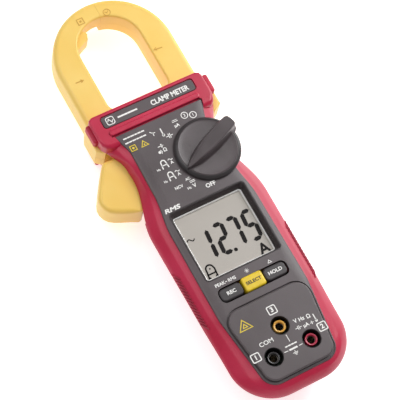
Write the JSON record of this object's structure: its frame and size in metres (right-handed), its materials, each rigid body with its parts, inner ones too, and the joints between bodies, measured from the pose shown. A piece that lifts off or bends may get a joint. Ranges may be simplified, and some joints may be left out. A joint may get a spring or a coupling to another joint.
{
  "type": "clamp meter",
  "caption": "Hand-held clamp meter: red case with grey panel, yellow opening jaw and trigger, rotary knob, display, keys and shrouded input sockets.",
  "frame": {"origin": "on the flat back of the case, on its centre line, half way along the meter", "axes": "+Z out of the front panel, +Y towards the tip of the jaw, +X to the right seen from the front"},
  "size_m": [0.0842, 0.2351, 0.041],
  "materials": {
    "red_abs": "fine satin moulded",
    "yellow_abs": "satin moulded",
    "grey_abs": "fine textured",
    "black_abs": "fine textured",
    "yellow_key": "satin",
    "clear_window": "polished",
    "lcd": "polarised film",
    "light_guide": "clear",
    "circuit_board": "solder mask",
    "chip_epoxy": "moulded",
    "silicone": "soft",
    "zebra_rubber": "soft",
    "red_sleeve": "glossy",
    "yellow_sleeve": "glossy",
    "black_sleeve": "glossy",
    "brass": "plated",
    "steel": "plain",
    "nickel": "plated",
    "silicon_steel": "laminated",
    "copper_wire": "enamelled winding",
    "cell_wrap": "film wrapped",
    "component": "film wrapped",
    "resistor": "lacquered",
    "wire_sleeve": "extruded",
    "rotor_acetal": "moulded"
  },
  "bodies": {
    "case": {"front_case": "red_abs", "rear_case": "red_abs", "front_panel": "grey_abs", "nameplate": "grey_abs", "case_screws": "steel", "display_window": "clear_window", "display_bezel": "black_abs", "lcd_glass": "lcd", "light_guide": "light_guide", "lcd_holder": "black_abs", "zebra_strips": "zebra_rubber", "main_board": "circuit_board", "board_screws": "steel", "measuring_chip": "chip_epoxy", "processor_chip": "chip_epoxy", "crystal": "nickel", "capacitors": "component", "input_resistors": "resistor", "buzzer": "black_abs", "backlight_leds": "light_guide", "button_mat": "silicone", "sleeve_black": "black_sleeve", "sleeve_red": "red_sleeve", "sleeve_yellow": "yellow_sleeve", "socket_common": "brass", "socket_volts": "brass", "socket_third": "brass", "fixed_jaw_front": "yellow_abs", "fixed_jaw_rear": "yellow_abs", "fixed_core": "silicon_steel", "fixed_coil": "copper_wire", "coil_leads": "wire_sleeve", "pivot_pin": "steel", "jaw_spring": "steel", "battery_left": "cell_wrap", "battery_right": "cell_wrap", "battery_springs": "nickel", "battery_plates": "nickel"},
    "moving_jaw": {"moving_jaw_front": "yellow_abs", "moving_jaw_rear": "yellow_abs", "moving_core": "silicon_steel", "moving_coil": "copper_wire", "trigger": "yellow_abs"},
    "knob": {"knob": "black_abs", "switch_rotor": "rotor_acetal", "wiper_contacts": "brass", "detent_balls": "nickel", "detent_springs": "steel"},
    "select_button": {"select_button": "yellow_key"},
    "record_button": {"record_button": "black_abs"},
    "hold_button": {"hold_button": "black_abs"},
    "battery_cover": {"battery_cover": "black_abs"},
    "cover_screw": {"battery_cover_screw": "steel"}
  },
  "joints": [
    {"name": "jaw_open", "type": "hinge", "parent": "case", "child": "moving_jaw", "pos_m": [-0.012, 0.0385, 0.016], "axis": [0, 0, 1], "range_deg": [0, 20], "stiffness_Nm_per_rad": 1.5, "springref_deg": -11.46, "deforming": ["jaw_spring"]},
    {"name": "knob_turn", "type": "hinge", "parent": "case", "child": "knob", "pos_m": [0.0141, 0.0138, 0.0323], "axis": [0, 0, 1], "range_deg": [-108, 44]},
    {"name": "select_button_press", "type": "slide", "parent": "case", "child": "select_button", "axis": [0, 0, -1], "range_m": [0, 0.001], "stiffness_N_per_m": 1200, "springref_m": -0.0004},
    {"name": "record_button_press", "type": "slide", "parent": "case", "child": "record_button", "axis": [0, 0, -1], "range_m": [0, 0.001], "stiffness_N_per_m": 1200, "springref_m": -0.0004},
    {"name": "hold_button_press", "type": "slide", "parent": "case", "child": "hold_button", "axis": [0, 0, -1], "range_m": [0, 0.001], "stiffness_N_per_m": 1200, "springref_m": -0.0004},
    {"name": "battery_cover_lift", "type": "slide", "parent": "case", "child": "battery_cover", "axis": [0, 0, -1], "range_m": [0, 0.02]},
    {"name": "cover_screw_turn", "type": "hinge", "parent": "battery_cover", "child": "cover_screw", "pos_m": [0, -0.0654, 0.0005], "axis": [0, 0, 1], "range_deg": [0, 720]}
  ]
}
